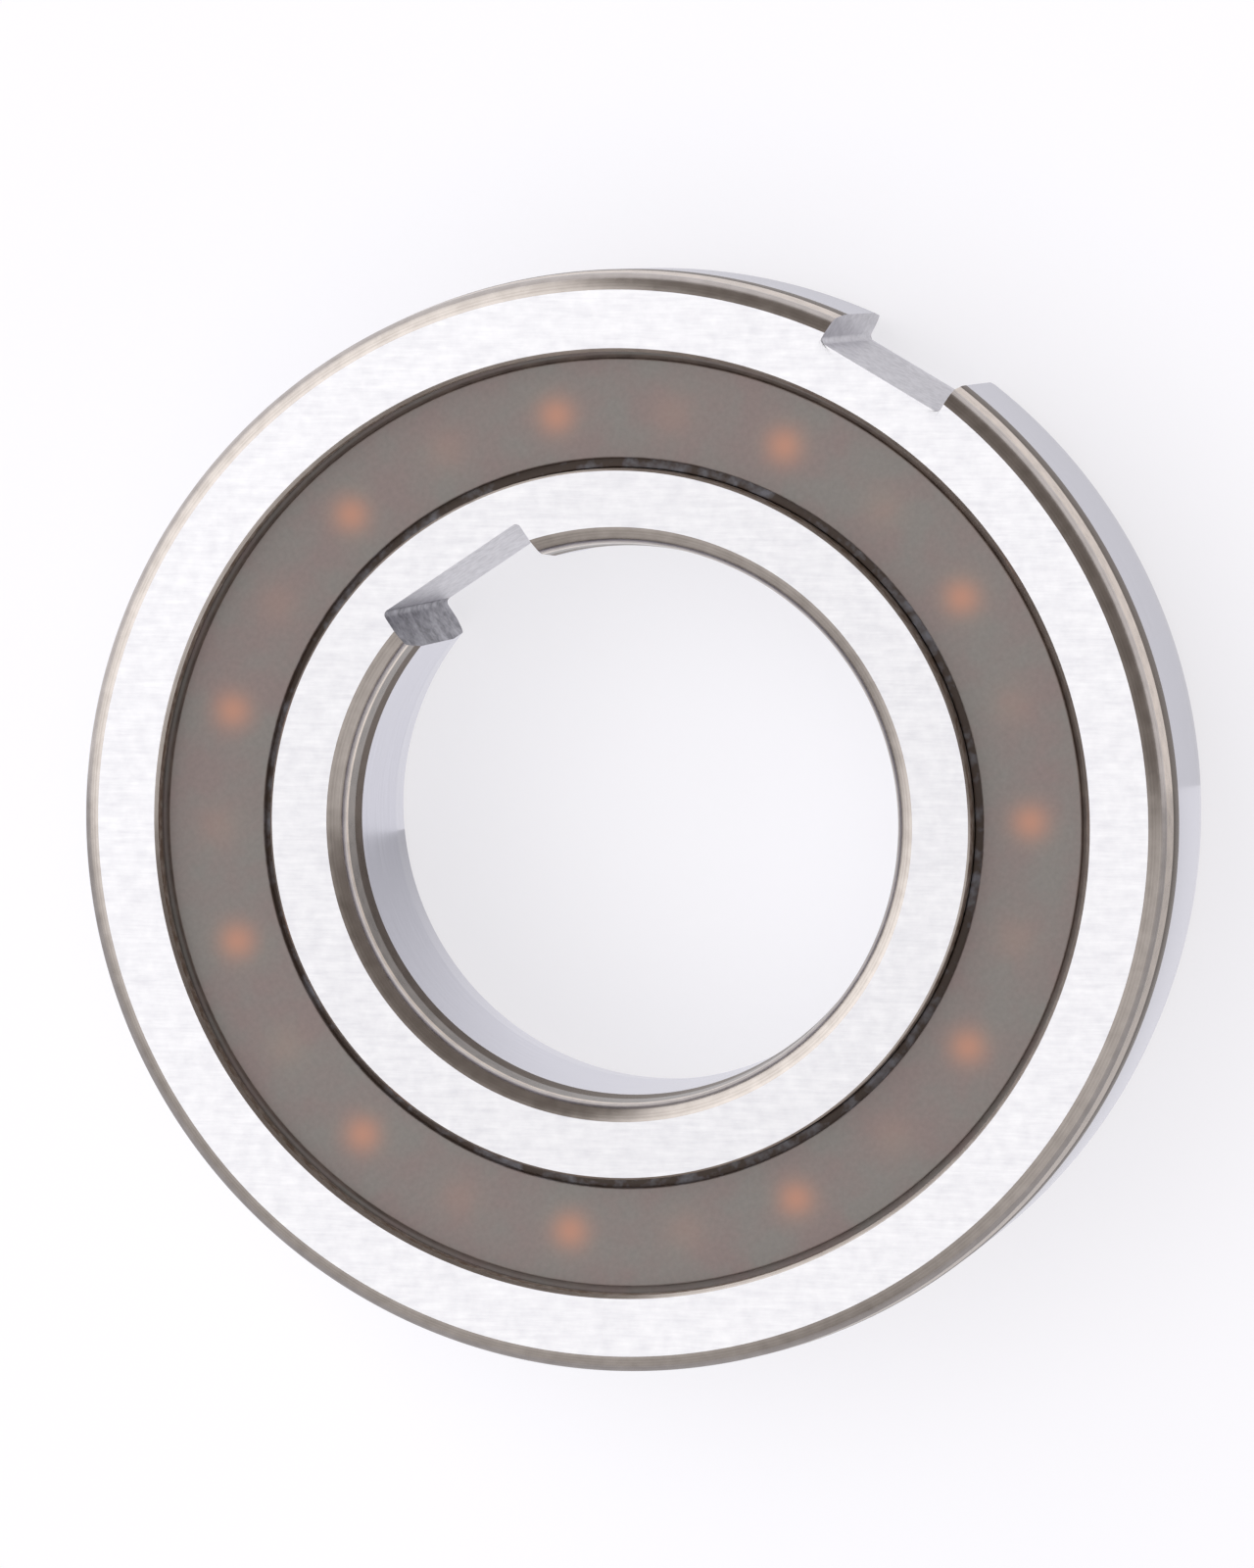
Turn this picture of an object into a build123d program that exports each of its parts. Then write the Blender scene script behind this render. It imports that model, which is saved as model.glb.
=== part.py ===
"""Bearing-type sprag clutch, 40 x 80 x 22 mm, with a keyway in each ring.

Eleven balls and eleven sprags take turns in one moulded cage. The balls run in a groove in the
middle of each ring and centre the rings. The sprags stand on the plain tracks on both sides of
that groove. Seen from the front, the inner ring runs free counter-clockwise and locks clockwise.
"""

from build123d import *

import os
from math import acos, cos, degrees, radians, sin

# Envelope: the bore's axis is +Z, the origin is the centre of the clutch, +Z is the front.
BORE_R = 20.0
OUTER_R = 40.0
HALF_WIDTH = 11.0

# Row of rolling elements.
PAIRS = 11
PITCH_DEG = 360 / PAIRS
TRACK_IN_R = 25.7
TRACK_OUT_R = 34.0
PITCH_R = (TRACK_IN_R + TRACK_OUT_R) / 2
BALL_D = 9.525
BALL_PLAY = 0.02
GROOVE_R = 0.52 * BALL_D

# Ring corners, turned in three steps from face to seat: two chamfers that stand for a quarter
# round, and a slow lead-in taper, given as (radial, axial) lengths.
OUTER_CORNER = 1.2
OUTER_TAPER = (0.25, 3.0)
BORE_CORNER = 1.2
BORE_TAPER = (0.3, 4.0)
CORNER_BULGE = 0.7
TRACK_BREAK = 0.15
MOUTH_BREAK = 0.25

# Keyways. The inner one is at +Y and the outer one 64.2 degrees clockwise of it at rest.
INNER_KEY_WIDTH = 12.0
INNER_KEY_FLOOR_R = 22.2
OUTER_KEY_WIDTH = 10.0
OUTER_KEY_FLOOR_R = 37.5
KEY_CORNER_R = 0.4
INNER_KEY_DEG = 90.0
OUTER_KEY_DEG = 25.8

# Shields: a plate below the ring faces, with a lower rim snapped into the outer ring's groove.
# A lower step at the bore leaves only a thin running gap round the inner ring.
SHIELD_TOP = HALF_WIDTH - 1.4
SHIELD_THICK = 0.8
SHIELD_BORE_R = 26.45
SHIELD_PLATE_R = 33.6
SHIELD_MOUTH_R = 34.1
SNAP_R = 34.6
SNAP_LOW = 8.2
SNAP_HIGH = 9.1
RIM_INNER_R = 32.8
LIP_WIDTH = 0.7
LIP_BOTTOM = 8.3
STEP_R = 25.95
STEP_TOP = 8.8

# Cage.
CAGE_IN_R = 28.6
CAGE_OUT_R = 31.2
CAGE_HALF_WIDTH = 7.6
BALL_POCKET_D = 9.75
WINDOW_WIDTH = 5.2
WINDOW_CORNER_R = 0.5

# Sprags: two cams of one radius, whose contact points are STRUT_DEG apart round the axis.
CAM_R = 4.6
TRACK_GAP = 0.03
STRUT_DEG = 0.8
SPRAG_LENGTH = 12.8
SPRAG_END_GAP = 0.2
OUTER_CAM_ARC = (-36.0, 30.0)
INNER_CAM_ARC = (144.0, 210.0)
WAIST_HALF = 1.85
CAM_CORNER_R = 0.45

# Garter springs, one round each end of the sprags.
SPRING_RING_R = 32.05
SPRING_COIL_D = 1.4
SPRING_SIDES = 8
SPRING_Z = 5.2
NOTCH_WIDTH = 1.8
NOTCH_GAP = 0.15

BALL_DEGREES = [i * PITCH_DEG for i in range(PAIRS)]
SPRAG_DEGREES = [(i + 0.5) * PITCH_DEG for i in range(PAIRS)]


def across(angle, height=0.0):
    """Plane square to the clutch axis at a height, with its x axis along the radius at an angle."""
    outwards = (cos(radians(angle)), sin(radians(angle)), 0)
    return Plane(origin=(0, 0, height), x_dir=outwards, z_dir=(0, 0, 1))


def facing(angle, radius):
    """Plane that looks out along the radius at an angle, with its y axis along the clutch axis."""
    outwards = (cos(radians(angle)), sin(radians(angle)), 0)
    centre = tuple(radius * part for part in outwards)
    return Plane(origin=centre, x_dir=(-outwards[1], outwards[0], 0), z_dir=outwards)


def save(piece, name):
    """Label a finished sub-part and write it as one STEP file."""
    piece.part.label = name
    export_step(piece.part, f"parts/{name}.step")


def make_outer_ring():
    groove_centre_r = PITCH_R + BALL_D / 2 + BALL_PLAY - GROOVE_R
    groove_arc = degrees(acos((TRACK_OUT_R - groove_centre_r) / GROOVE_R))
    corner_r = OUTER_R - OUTER_TAPER[0] - OUTER_CORNER
    corner_z = HALF_WIDTH - OUTER_CORNER
    bulge = CORNER_BULGE * OUTER_CORNER
    with BuildPart() as ring:
        with BuildSketch(Plane.XZ):
            with BuildLine():
                groove = CenterArc((groove_centre_r, 0), GROOVE_R, 0, groove_arc)
                Polyline(
                    groove @ 1,
                    (TRACK_OUT_R, SNAP_LOW),
                    (SNAP_R, SNAP_LOW),
                    (SNAP_R, SNAP_HIGH),
                    (SHIELD_MOUTH_R, SNAP_HIGH),
                    (SHIELD_MOUTH_R, HALF_WIDTH - MOUTH_BREAK),
                    (SHIELD_MOUTH_R + MOUTH_BREAK, HALF_WIDTH),
                    (corner_r, HALF_WIDTH),
                    (corner_r + bulge, corner_z + bulge),
                    (corner_r + OUTER_CORNER, corner_z),
                    (OUTER_R, corner_z - OUTER_TAPER[1]),
                    (OUTER_R, 0),
                    groove @ 0,
                )
            make_face()
            mirror(about=Plane.XZ)
        revolve(axis=Axis.Z)
        with BuildSketch(across(OUTER_KEY_DEG, -HALF_WIDTH)) as slot:
            with Locations((OUTER_R, 0)):
                Rectangle(2 * (OUTER_R - OUTER_KEY_FLOOR_R), OUTER_KEY_WIDTH)
            fillet(slot.vertices().group_by(SortBy.DISTANCE)[0], KEY_CORNER_R)
        extrude(amount=2 * HALF_WIDTH, mode=Mode.SUBTRACT)
    save(ring, "outer_ring")


def make_inner_ring():
    groove_centre_r = PITCH_R - BALL_D / 2 - BALL_PLAY + GROOVE_R
    groove_arc = degrees(acos((groove_centre_r - TRACK_IN_R) / GROOVE_R))
    corner_r = BORE_R + BORE_TAPER[0] + BORE_CORNER
    corner_z = HALF_WIDTH - BORE_CORNER
    bulge = CORNER_BULGE * BORE_CORNER
    with BuildPart() as ring:
        with BuildSketch(Plane.XZ):
            with BuildLine():
                groove = CenterArc((groove_centre_r, 0), GROOVE_R, 180, -groove_arc)
                Polyline(
                    groove @ 1,
                    (TRACK_IN_R, HALF_WIDTH - TRACK_BREAK),
                    (TRACK_IN_R - TRACK_BREAK, HALF_WIDTH),
                    (corner_r, HALF_WIDTH),
                    (corner_r - bulge, corner_z + bulge),
                    (corner_r - BORE_CORNER, corner_z),
                    (BORE_R, corner_z - BORE_TAPER[1]),
                    (BORE_R, 0),
                    groove @ 0,
                )
            make_face()
            mirror(about=Plane.XZ)
        revolve(axis=Axis.Z)
        with BuildSketch(across(INNER_KEY_DEG, -HALF_WIDTH)) as slot:
            with Locations((INNER_KEY_FLOOR_R, 0)):
                Rectangle(INNER_KEY_FLOOR_R / 2, INNER_KEY_WIDTH, align=(Align.MAX, Align.CENTER))
            fillet(slot.vertices().group_by(SortBy.DISTANCE)[-1], KEY_CORNER_R)
        extrude(amount=2 * HALF_WIDTH, mode=Mode.SUBTRACT)
    save(ring, "inner_ring")


def make_shield(name, side):
    """Stepped annular plate; side is 1 at the front and -1 at the rear."""
    bottom = SHIELD_TOP - SHIELD_THICK
    with BuildPart() as shield:
        with BuildSketch(Plane.XZ):
            with BuildLine():
                Polyline(
                    (SHIELD_BORE_R, SHIELD_TOP),
                    (SHIELD_PLATE_R, SHIELD_TOP),
                    (SHIELD_PLATE_R, SNAP_HIGH),
                    (SNAP_R, SNAP_HIGH),
                    (SNAP_R, SNAP_LOW),
                    (RIM_INNER_R, SNAP_LOW),
                    (RIM_INNER_R, bottom),
                    (SHIELD_BORE_R + LIP_WIDTH, bottom),
                    (SHIELD_BORE_R + LIP_WIDTH, LIP_BOTTOM),
                    (STEP_R, LIP_BOTTOM),
                    (STEP_R, STEP_TOP),
                    (SHIELD_BORE_R, STEP_TOP),
                    close=True,
                )
            make_face()
            if side < 0:
                mirror(about=Plane.XZ, mode=Mode.REPLACE)
        revolve(axis=Axis.Z)
    save(shield, name)


def make_cage():
    """One moulded ring with a round pocket for each ball and a long window for each sprag."""
    reach = CAGE_OUT_R - CAGE_IN_R
    with BuildPart() as cage:
        with BuildSketch(Plane.XY.offset(-CAGE_HALF_WIDTH)):
            Circle(CAGE_OUT_R)
            Circle(CAGE_IN_R, mode=Mode.SUBTRACT)
        extrude(amount=2 * CAGE_HALF_WIDTH)
        with BuildSketch(*[facing(angle, PITCH_R) for angle in BALL_DEGREES]):
            Circle(BALL_POCKET_D / 2)
        extrude(amount=reach, both=True, mode=Mode.SUBTRACT)
        with BuildSketch(*[facing(angle, PITCH_R) for angle in SPRAG_DEGREES]):
            RectangleRounded(WINDOW_WIDTH, SPRAG_LENGTH + 2 * SPRAG_END_GAP, WINDOW_CORNER_R)
        extrude(amount=reach, both=True, mode=Mode.SUBTRACT)
    save(cage, "cage")


def make_garter_spring(name, side):
    """Endless coil spring, drawn as the eight-sided ring that its coils fill."""
    with BuildPart() as spring:
        with BuildSketch(Plane.XZ):
            with Locations((SPRING_RING_R, side * SPRING_Z)):
                RegularPolygon(SPRING_COIL_D / 2, SPRING_SIDES, rotation=180 / SPRING_SIDES)
        revolve(axis=Axis.Z)
    save(spring, name)


def make_ball(name, angle):
    with BuildPart(across(angle)) as ball:
        with Locations((PITCH_R, 0)):
            Sphere(BALL_D / 2)
    save(ball, name)


def make_sprag(name, angle):
    """Figure-of-eight strut. Each cam is an arc of CAM_R; the outer cam's contact lies clockwise of
    the inner cam's, so the sprag grows taller as it tips counter-clockwise and wedges."""
    half = radians(STRUT_DEG / 2)
    outer_centre_r = TRACK_OUT_R - TRACK_GAP - CAM_R
    inner_centre_r = TRACK_IN_R + TRACK_GAP + CAM_R
    outer_centre = (outer_centre_r * cos(half), -outer_centre_r * sin(half))
    inner_centre = (inner_centre_r * cos(half), inner_centre_r * sin(half))
    notch_floor_r = SPRING_RING_R - SPRING_COIL_D / 2 - NOTCH_GAP
    with BuildPart() as sprag:
        with BuildSketch(across(angle)):
            with BuildLine():
                start, end = OUTER_CAM_ARC
                outer_cam = CenterArc(outer_centre, CAM_R, start, end - start)
                start, end = INNER_CAM_ARC
                inner_cam = CenterArc(inner_centre, CAM_R, start, end - start)
                ThreePointArc(outer_cam @ 1, (PITCH_R, WAIST_HALF), inner_cam @ 0)
                ThreePointArc(inner_cam @ 1, (PITCH_R, -WAIST_HALF), outer_cam @ 0)
            profile = make_face()
            fillet(profile.vertices(), CAM_CORNER_R)
        extrude(amount=SPRAG_LENGTH / 2, both=True)
        low = SPRING_Z - NOTCH_WIDTH / 2
        with BuildSketch(across(angle, low), across(angle, -low - NOTCH_WIDTH)):
            with BuildLine():
                Polyline(
                    (notch_floor_r - 0.9, -CAM_R),
                    (notch_floor_r, 0.6),
                    (notch_floor_r - 0.3, CAM_R),
                    (OUTER_R, CAM_R),
                    (OUTER_R, -CAM_R),
                    close=True,
                )
            make_face()
        extrude(amount=NOTCH_WIDTH, mode=Mode.SUBTRACT)
    save(sprag, name)


os.makedirs("parts", exist_ok=True)
make_outer_ring()
make_inner_ring()
make_shield("front_shield", 1)
make_shield("rear_shield", -1)
make_cage()
make_garter_spring("front_garter_spring", 1)
make_garter_spring("rear_garter_spring", -1)
for number, angle in enumerate(BALL_DEGREES, 1):
    make_ball(f"ball_{number:02d}", angle)
for number, angle in enumerate(SPRAG_DEGREES, 1):
    make_sprag(f"sprag_{number:02d}", angle)
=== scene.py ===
"""Finish of the bearing-type sprag clutch: ground and turned rings, resin shields, balls, sprags,
cage and garter springs, in a plain pale studio. Lengths are in metres."""

import bmesh
import bpy
import numpy as np
from mathutils import Matrix, Vector


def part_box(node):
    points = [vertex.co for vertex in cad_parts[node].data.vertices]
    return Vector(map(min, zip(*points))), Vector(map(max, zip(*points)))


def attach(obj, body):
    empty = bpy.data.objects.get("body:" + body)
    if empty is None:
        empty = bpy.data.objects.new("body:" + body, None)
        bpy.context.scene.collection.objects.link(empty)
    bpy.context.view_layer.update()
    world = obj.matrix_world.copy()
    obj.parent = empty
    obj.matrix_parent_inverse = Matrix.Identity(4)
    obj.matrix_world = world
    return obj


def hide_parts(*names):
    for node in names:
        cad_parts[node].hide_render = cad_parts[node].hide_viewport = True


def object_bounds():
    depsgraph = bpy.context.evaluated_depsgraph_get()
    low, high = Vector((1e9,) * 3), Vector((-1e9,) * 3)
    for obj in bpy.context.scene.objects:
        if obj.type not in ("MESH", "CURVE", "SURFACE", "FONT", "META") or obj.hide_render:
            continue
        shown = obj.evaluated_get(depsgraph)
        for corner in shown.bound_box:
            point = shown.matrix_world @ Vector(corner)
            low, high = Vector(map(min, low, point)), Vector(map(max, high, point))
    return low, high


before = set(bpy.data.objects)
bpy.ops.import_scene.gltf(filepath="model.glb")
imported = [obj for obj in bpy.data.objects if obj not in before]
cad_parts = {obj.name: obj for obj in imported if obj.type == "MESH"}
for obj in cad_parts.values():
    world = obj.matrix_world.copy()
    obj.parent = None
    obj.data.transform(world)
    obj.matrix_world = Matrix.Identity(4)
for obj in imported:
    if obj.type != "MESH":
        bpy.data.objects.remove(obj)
cad_box = [list(corner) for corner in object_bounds()]

MM = 0.001

# Ring envelope, from the frame.
OUTER_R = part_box("outer_ring")[1].x
HALF_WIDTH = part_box("outer_ring")[1].z
TRACK_IN_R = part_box("inner_ring")[1].x
BORE_R = 20.0 * MM
TRACK_OUT_R = 34.0 * MM
PITCH_R = (TRACK_IN_R + TRACK_OUT_R) / 2
PAIRS = sum(name.startswith("ball_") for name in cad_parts)
BALL_R = (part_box("ball_01")[1].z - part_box("ball_01")[0].z) / 2

# Corners and lead-in tapers, each taper with its drop in radius and its length. A corner leaves
# the face at one angle to it and meets the taper at the other, so that both its edges stay crisp.
OUTER_CORNER = 1.2 * MM
OUTER_TAPER = (0.25 * MM, 3.0 * MM)
BORE_CORNER = 1.2 * MM
BORE_TAPER = (0.3 * MM, 4.0 * MM)
CORNER_START_DEG = 24
CORNER_END_DEG = 80
TRACK_BREAK = 0.15 * MM
MOUTH_BREAK = 0.25 * MM
GROOVE_R = 1.04 * BALL_R
BALL_PLAY = 0.02 * MM

# Direction of the wheel strokes on the ground faces.
GRINDING_DEG = -33.7

# Keyways: half width, distance of the flat floor from the axis, direction.
INNER_KEY = (6.0 * MM, 22.2 * MM, np.radians(90.0))
OUTER_KEY = (5.0 * MM, 37.5 * MM, np.radians(25.8))
KEY_CORNER_R = 0.4 * MM
# Row of each face just past its keyway, where the cut ends.
INNER_FACE_ROW = 23.5 * MM
OUTER_FACE_ROW = 37.1 * MM

# Shields and the outer ring's seat for them.
SHIELD_TOP = HALF_WIDTH - 1.4 * MM
SHIELD_THICK = 0.8 * MM
SHIELD_BORE_R = 26.45 * MM
SHIELD_PLATE_R = 33.6 * MM
SHIELD_MOUTH_R = 34.1 * MM
SNAP_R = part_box("front_shield")[1].x
SNAP_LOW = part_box("front_shield")[0].z
SNAP_HIGH = 9.1 * MM
RIM_INNER_R = 32.8 * MM
LIP_WIDTH = 0.7 * MM
LIP_BOTTOM = 8.3 * MM
STEP_TOP = 8.8 * MM
SHIELD_EDGE_R = 0.12 * MM
# The step's soft lip is drawn 0.2 mm nearer to the inner ring than the solid's, because oil
# closes the gap to the eye.
STEP_R = 25.75 * MM

# Garter springs: close-wound coils in the space that the plain rings fill. Each turn has few
# steps and the wire few sides, because there are hundreds of turns and the shields hide them.
SPRING_RING_R = 32.05 * MM
SPRING_COIL_R = 0.7 * MM
SPRING_WIRE_R = 0.16 * MM
SPRING_Z = 5.2 * MM
SPRING_TURNS = 330
SPRING_STEPS = 10
WIRE_SIDES = 5

# Balls: bands from pole to pole and columns round the polar line.
BALL_BANDS = 28
BALL_COLUMNS = 56

# Corners of a CAD node's triangles nearer than this are one corner.
MERGE_DISTANCE = 0.002 * MM

# On a row that a keyway doesn't cut, its columns take a little more than its width, and a step
# up its side wall takes this share of one along its floor.
UNCUT_STOP = 1.04
WALL_SHARE = 0.15

# Steps of the grids: round a ring, along an arc of its section, round a keyway's fillet and up a
# keyway's side wall, and the points round a shield's edge.
RING_COLUMNS = 480
ARC_STEPS = 18
KEY_STEPS = 8
WALL_STEPS = 3
EDGE_POINTS = 7

# The camera's side: which way is right and up for it in the rings' plane, and where it stands.
VIEW_RIGHT = Vector((0.832, -0.555, 0.0))
VIEW_UP = Vector((0.555, 0.832, 0.0))
TO_CAMERA = (0.185 * VIEW_RIGHT + 0.067 * VIEW_UP + 0.98 * Vector((0, 0, 1))).normalized()
CAMERA_DISTANCE = 0.65
CAMERA_LENS_MM = 203.6
CAMERA_SENSOR_MM = 36
CAMERA_SHIFT = (-0.0119, 0.0199)


# Node helpers.


def linear(hex_colour):
    """Linear RGBA of an sRGB hex colour."""
    s = np.array([int(hex_colour[i:i + 2], 16) for i in (1, 3, 5)]) / 255
    rgb = np.where(s <= 0.04045, s / 12.92, ((s + 0.055) / 1.055) ** 2.4)
    return (*rgb.tolist(), 1.0)


def cells(width_mm):
    """Scale of a noise whose cells are so many millimetres wide."""
    return 1 / (width_mm * MM)


def add(tree, kind, settings=None, stops=(), **inputs):
    """Adds a node. settings are its own properties, and stops a colour ramp's two places and hex
    colours. inputs are socket values or linked sockets, named by the socket in small letters
    with _ for spaces, or _0, _1 ... by place."""
    made = tree.nodes.new("ShaderNode" + kind)
    for key, value in (settings or {}).items():
        setattr(made, key, value)
    for number, (at, hex_colour) in enumerate(stops):
        made.color_ramp.elements[number].position = at
        made.color_ramp.elements[number].color = linear(hex_colour)
    for key, value in inputs.items():
        if key.startswith("_"):
            socket = made.inputs[int(key[1:])]
        else:
            name = key.replace("_", " ").lower()
            socket = next(s for s in made.inputs if s.name.lower() == name and s.enabled)
        if isinstance(value, bpy.types.NodeSocket):
            tree.links.new(value, socket)
        else:
            socket.default_value = value
    return made


def new_material(name):
    """Material with an empty tree; returns the material, its tree and Object coordinates."""
    material = bpy.data.materials.new(name)
    material.use_nodes = True
    tree = material.node_tree
    tree.nodes.clear()
    place = add(tree, "TexCoord").outputs["Object"]
    return material, tree, place


def finish_material(tree, shader):
    """Links the shader to the material's surface."""
    output = tree.nodes.new("ShaderNodeOutputMaterial")
    tree.links.new(shader.outputs[0], output.inputs["Surface"])


# Finishes.


def ground_face_steel():
    """Hardened bearing steel, face ground flat: very pale, with faint straight wheel strokes, and
    on the inner ring darker by painted shade. The strokes are drawn 3 mm long and 0.25 mm wide,
    coarser than real ones, so that they show."""
    material, tree, place = new_material("ground_face_steel")
    turned = add(tree, "Mapping", {"vector_type": "TEXTURE"}, vector=place,
                 rotation=(0, 0, np.radians(GRINDING_DEG)), scale=(1, 1 / 12, 1)).outputs[0]
    strokes = add(tree, "TexNoise", vector=turned, scale=cells(3.03),
                  detail=6, roughness=0.75).outputs[0]
    clouds = add(tree, "TexNoise", vector=place, scale=cells(1.111),
                 detail=3, roughness=0.6).outputs[0]
    mixed = add(tree, "Mix", {"data_type": "FLOAT"}, _0=0.4, _2=strokes, _3=clouds).outputs[0]
    colour = add(tree, "ValToRGB", _0=mixed,
                 stops=((0.35, "#BFBFC4"), (0.65, "#CDCDD0"))).outputs[0]
    # Painted shade: the inner ring's face takes 0.94 of the colour's value, the outer ring's face
    # all of it.
    flat = add(tree, "VectorMath", {"operation": "MULTIPLY"}, _0=place, _1=(1, 1, 0)).outputs[0]
    radius = add(tree, "VectorMath", {"operation": "LENGTH"}, _0=flat).outputs["Value"]
    shade = add(tree, "MapRange", value=radius, from_min=TRACK_IN_R, from_max=TRACK_OUT_R,
                to_min=0.94, to_max=1).outputs[0]
    colour = add(tree, "HueSaturation", value=shade, color=colour).outputs[0]
    rough = add(tree, "MapRange", value=mixed, from_min=0.35, from_max=0.65, to_min=0.38,
                to_max=0.3).outputs[0]
    bump = add(tree, "Bump", strength=0.04, distance=0.02 * MM, height=strokes).outputs[0]
    shader = add(tree, "BsdfPrincipled", base_color=colour, metallic=1.0, roughness=rough,
                 normal=bump)
    finish_material(tree, shader)
    return material


def turned_corner_steel():
    """Corner radius, turned before hardening: warm grey, smooth, with fine tool rings at the
    pitch of a finishing feed, 0.11 mm."""
    material, tree, place = new_material("turned_corner_steel")
    parts = add(tree, "SeparateXYZ", vector=place)
    rings = add(tree, "TexNoise", {"noise_dimensions": "1D"}, w=parts.outputs["Z"],
                scale=cells(0.1111), detail=2).outputs[0]
    mottle = add(tree, "TexNoise", vector=place, scale=cells(1.111), detail=3).outputs[0]
    mixed = add(tree, "Mix", {"data_type": "FLOAT"}, _0=0.5, _2=rings, _3=mottle).outputs[0]
    colour = add(tree, "ValToRGB", _0=mixed,
                 stops=((0.35, "#B4ADA8"), (0.65, "#CBC4BF"))).outputs[0]
    rough = add(tree, "MapRange", value=mottle, to_min=0.2, to_max=0.28).outputs[0]
    shader = add(tree, "BsdfPrincipled", base_color=colour, metallic=1.0, roughness=rough)
    finish_material(tree, shader)
    return material


def painted_band_steel(name, dark, pale, edge="#FFFFFF"):
    """Band of the lead-in taper, on the upper half only: smooth, with a colour mottled over a
    millimetre between dark and pale, a painted reflection. edge tints what it mirrors when seen
    almost along it."""
    material, tree, place = new_material(name)
    mottle = add(tree, "TexNoise", vector=place, scale=cells(1.111), detail=4).outputs[0]
    colour = add(tree, "ValToRGB", _0=mottle,
                 stops=((0.35, dark), (0.65, pale))).outputs[0]
    rough = add(tree, "MapRange", value=mottle, to_min=0.24, to_max=0.32).outputs[0]
    shader = add(tree, "BsdfPrincipled", base_color=colour, metallic=1.0, roughness=rough,
                 specular_tint=linear(edge))
    finish_material(tree, shader)
    return material


def oiled_edge_steel():
    """Edges of both rings beside the shield: steel under a brown film of old oil, which scatters
    the light instead of mirroring it, in smears under a millimetre wide."""
    material, tree, place = new_material("oiled_edge_steel")
    film = add(tree, "TexNoise", vector=place, scale=cells(0.769),
               detail=3, roughness=0.6).outputs[0]
    colour = add(tree, "ValToRGB", _0=film,
                 stops=((0.4, "#8F7B6D"), (0.68, "#C9BFB8"))).outputs[0]
    shader = add(tree, "BsdfPrincipled", base_color=colour, metallic=0.3, roughness=0.45)
    finish_material(tree, shader)
    return material


def ground_seat_steel():
    """Bore and outside diameter, cylindrically ground: strokes round the ring, drawn 6 mm long
    and 0.2 mm wide, coarser than real ones, so that they show."""
    material, tree, place = new_material("ground_seat_steel")
    squashed = add(tree, "Mapping", vector=place, scale=(1, 1, 30)).outputs[0]
    strokes = add(tree, "TexNoise", vector=squashed, scale=cells(6.25),
                  detail=5, roughness=0.7).outputs[0]
    colour = add(tree, "ValToRGB", _0=strokes,
                 stops=((0.35, "#BEBEC9"), (0.65, "#CCCCD6"))).outputs[0]
    rough = add(tree, "MapRange", value=strokes, to_min=0.2, to_max=0.3).outputs[0]
    bump = add(tree, "Bump", strength=0.04, distance=0.02 * MM, height=strokes).outputs[0]
    shader = add(tree, "BsdfPrincipled", base_color=colour, metallic=1.0, roughness=rough,
                 normal=bump)
    finish_material(tree, shader)
    return material


def milled_keyway_steel():
    """Milled keyway: pale matt grey with a fine even grain of half a millimetre, longer along
    the cut."""
    material, tree, place = new_material("milled_keyway_steel")
    along = add(tree, "Mapping", vector=place, scale=(1, 1, 0.45)).outputs[0]
    torn = add(tree, "TexNoise", vector=along, scale=cells(0.588),
               detail=4, roughness=0.65).outputs[0]
    colour = add(tree, "ValToRGB", _0=torn,
                 stops=((0.34, "#C6C5CA"), (0.62, "#DAD9DE"))).outputs[0]
    rough = add(tree, "MapRange", value=torn, to_min=0.5, to_max=0.38).outputs[0]
    bump = add(tree, "Bump", strength=0.1, distance=0.03 * MM, height=torn).outputs[0]
    shader = add(tree, "BsdfPrincipled", base_color=colour, metallic=1.0, roughness=rough,
                 normal=bump)
    finish_material(tree, shader)
    return material


def broached_flank_steel():
    """Flank of the broached keyway: dark grey, torn by the broach teeth in patches of about a
    millimetre, longer along the cut."""
    material, tree, place = new_material("broached_flank_steel")
    along = add(tree, "Mapping", vector=place, scale=(1, 1, 0.6)).outputs[0]
    torn = add(tree, "TexNoise", vector=along, scale=cells(0.909),
               detail=5, roughness=0.7).outputs[0]
    colour = add(tree, "ValToRGB", _0=torn,
                 stops=((0.36, "#6F6E75"), (0.66, "#A7A6AD"))).outputs[0]
    rough = add(tree, "MapRange", value=torn, to_min=0.55, to_max=0.35).outputs[0]
    bump = add(tree, "Bump", strength=0.4, distance=0.04 * MM, height=torn).outputs[0]
    shader = add(tree, "BsdfPrincipled", base_color=colour, metallic=1.0, roughness=rough,
                 normal=bump)
    finish_material(tree, shader)
    return material


def lapped_track_steel():
    """Tracks, grooves and shield seat inside the rings: darker, oiled, with bright specks
    1.4 mm long and 0.24 mm wide round the ring, which are painted glints."""
    material, tree, place = new_material("lapped_track_steel")
    squashed = add(tree, "Mapping", vector=place, scale=(1, 1, 6)).outputs[0]
    specks = add(tree, "TexNoise", vector=squashed, scale=cells(1.429),
                 detail=4, roughness=0.7).outputs[0]
    # Painted glints: the pale specks in the dark steel.
    colour = add(tree, "ValToRGB", _0=specks,
                 stops=((0.4, "#5B5250"), (0.68, "#B9B6BC"))).outputs[0]
    shader = add(tree, "BsdfPrincipled", base_color=colour, metallic=1.0, roughness=0.26)
    finish_material(tree, shader)
    return material


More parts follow.
